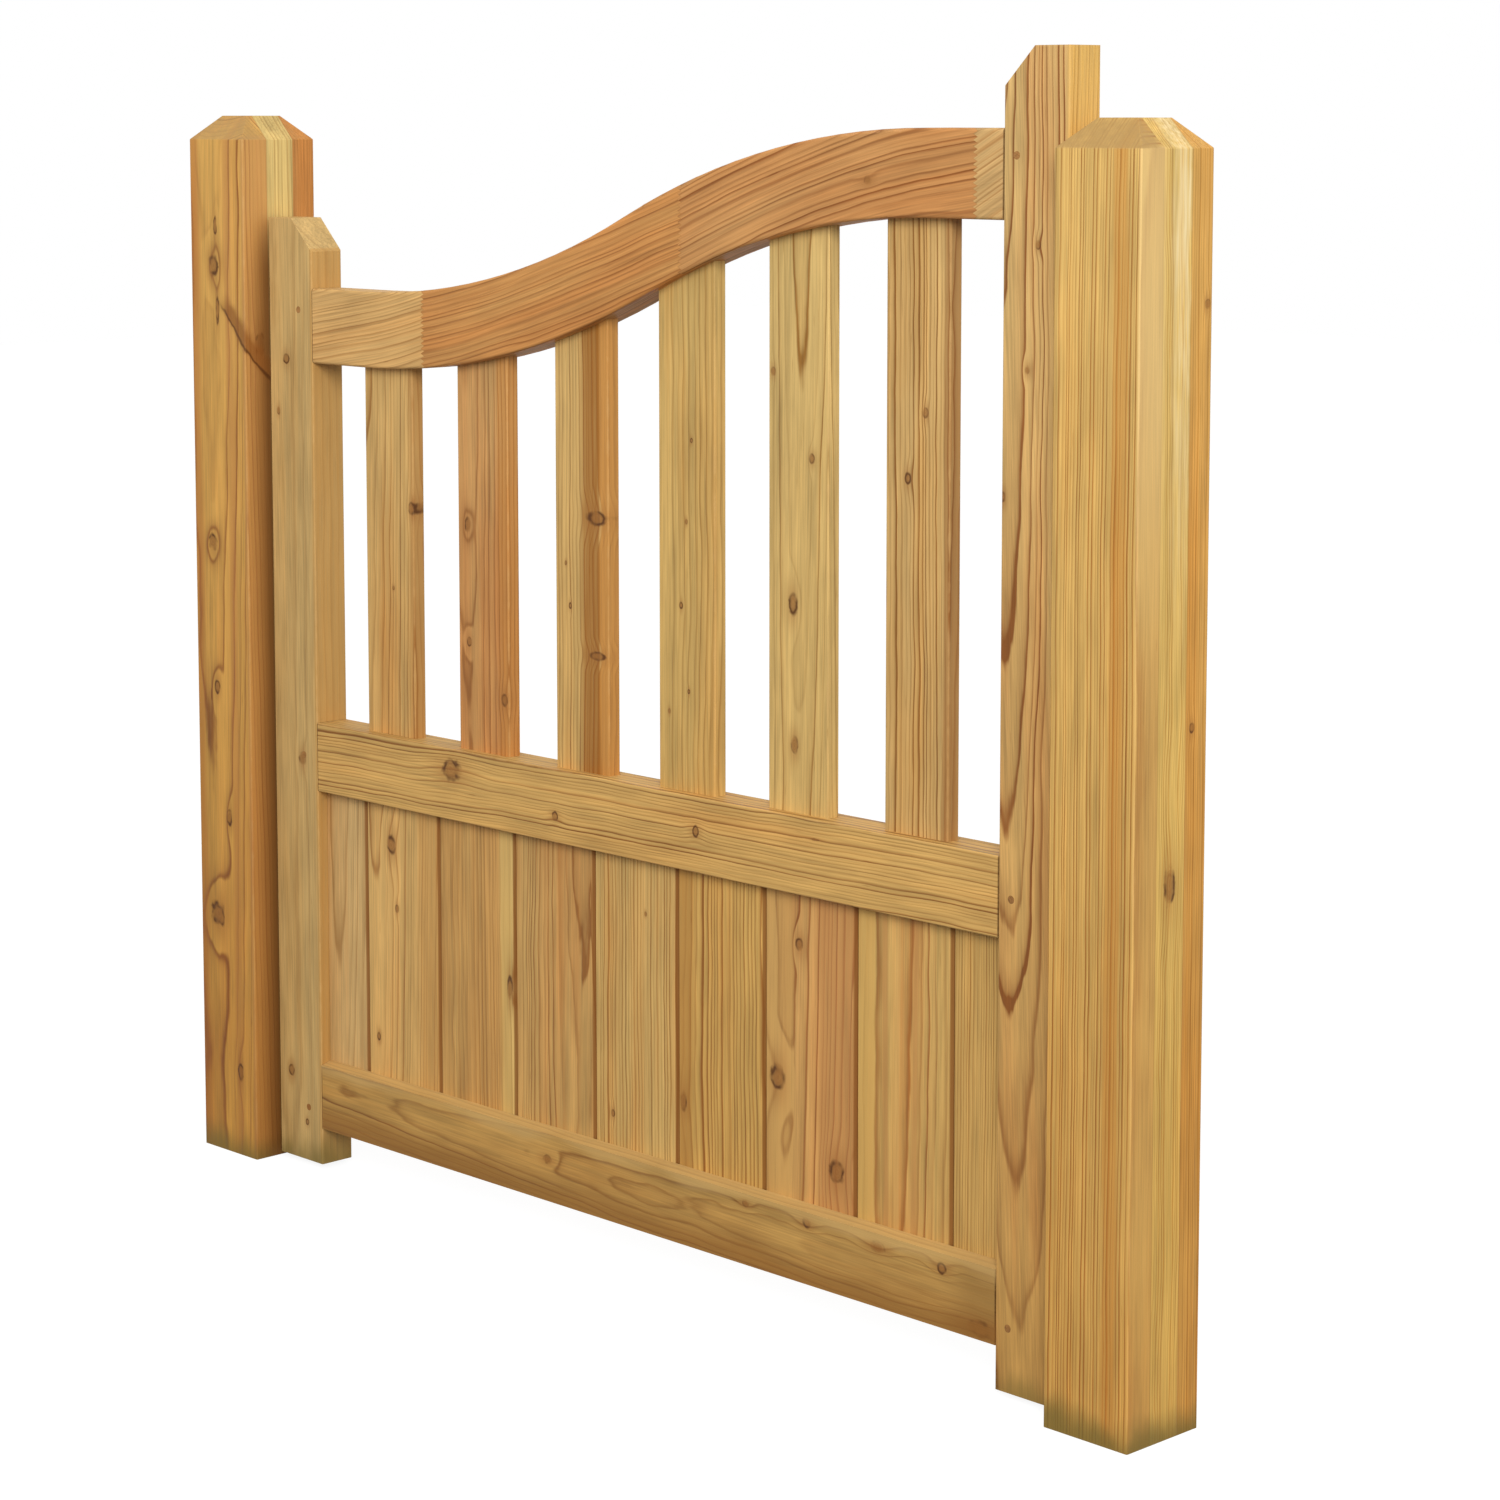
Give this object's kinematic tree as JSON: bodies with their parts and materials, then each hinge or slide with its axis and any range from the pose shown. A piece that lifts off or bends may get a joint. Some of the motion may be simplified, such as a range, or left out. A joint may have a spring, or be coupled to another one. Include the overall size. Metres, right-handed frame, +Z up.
{
  "type": "garden gate",
  "caption": "Swan-neck larch garden gate with upright palings over vee-jointed boards, strap-hinged at its tall side between two square posts with chamfered caps.",
  "frame": {"origin": "on the ground, midway between the posts, in the middle plane of the leaf", "axes": "+X along the gate to the hanging post, +Y away from the front, +Z up"},
  "size_m": [1.26, 0.09, 1.134],
  "materials": {
    "post_larch": "planed larch, oiled, golden tan",
    "frame_larch": "planed larch, oiled, golden tan",
    "paling_larch": "planed larch, oiled, golden tan",
    "board_larch": "planed larch, oiled, golden tan",
    "peg_wood": "turned hardwood, end grain",
    "hinge_black": "black powder coat, satin",
    "pin_steel": "plain steel",
    "screw_steel": "zinc plated"
  },
  "bodies": {
    "posts": {"hanging_post": "post_larch", "closing_post": "post_larch", "upper_hinge_plate": "hinge_black", "upper_hinge_pin": "pin_steel", "upper_plate_screws": "screw_steel", "lower_hinge_plate": "hinge_black", "lower_hinge_pin": "pin_steel", "lower_plate_screws": "screw_steel"},
    "leaf": {"hanging_stile": "frame_larch", "closing_stile": "frame_larch", "top_rail": "frame_larch", "middle_rail": "frame_larch", "bottom_rail": "frame_larch", "paling_1": "paling_larch", "paling_2": "paling_larch", "paling_3": "paling_larch", "paling_4": "paling_larch", "paling_5": "paling_larch", "paling_6": "paling_larch", "board_1": "board_larch", "board_2": "board_larch", "board_3": "board_larch", "board_4": "board_larch", "board_5": "board_larch", "board_6": "board_larch", "board_7": "board_larch", "board_8": "board_larch", "board_9": "board_larch", "hanging_stile_pegs": "peg_wood", "closing_stile_pegs": "peg_wood", "upper_hinge_strap": "hinge_black", "upper_strap_screws": "screw_steel", "lower_hinge_strap": "hinge_black", "lower_strap_screws": "screw_steel"}
  },
  "joints": [
    {"name": "leaf_swing", "type": "hinge", "parent": "posts", "child": "leaf", "pos_m": [0.533, 0.0265, 0.5], "axis": [0, 0, -1], "range_deg": [0, 90]}
  ]
}
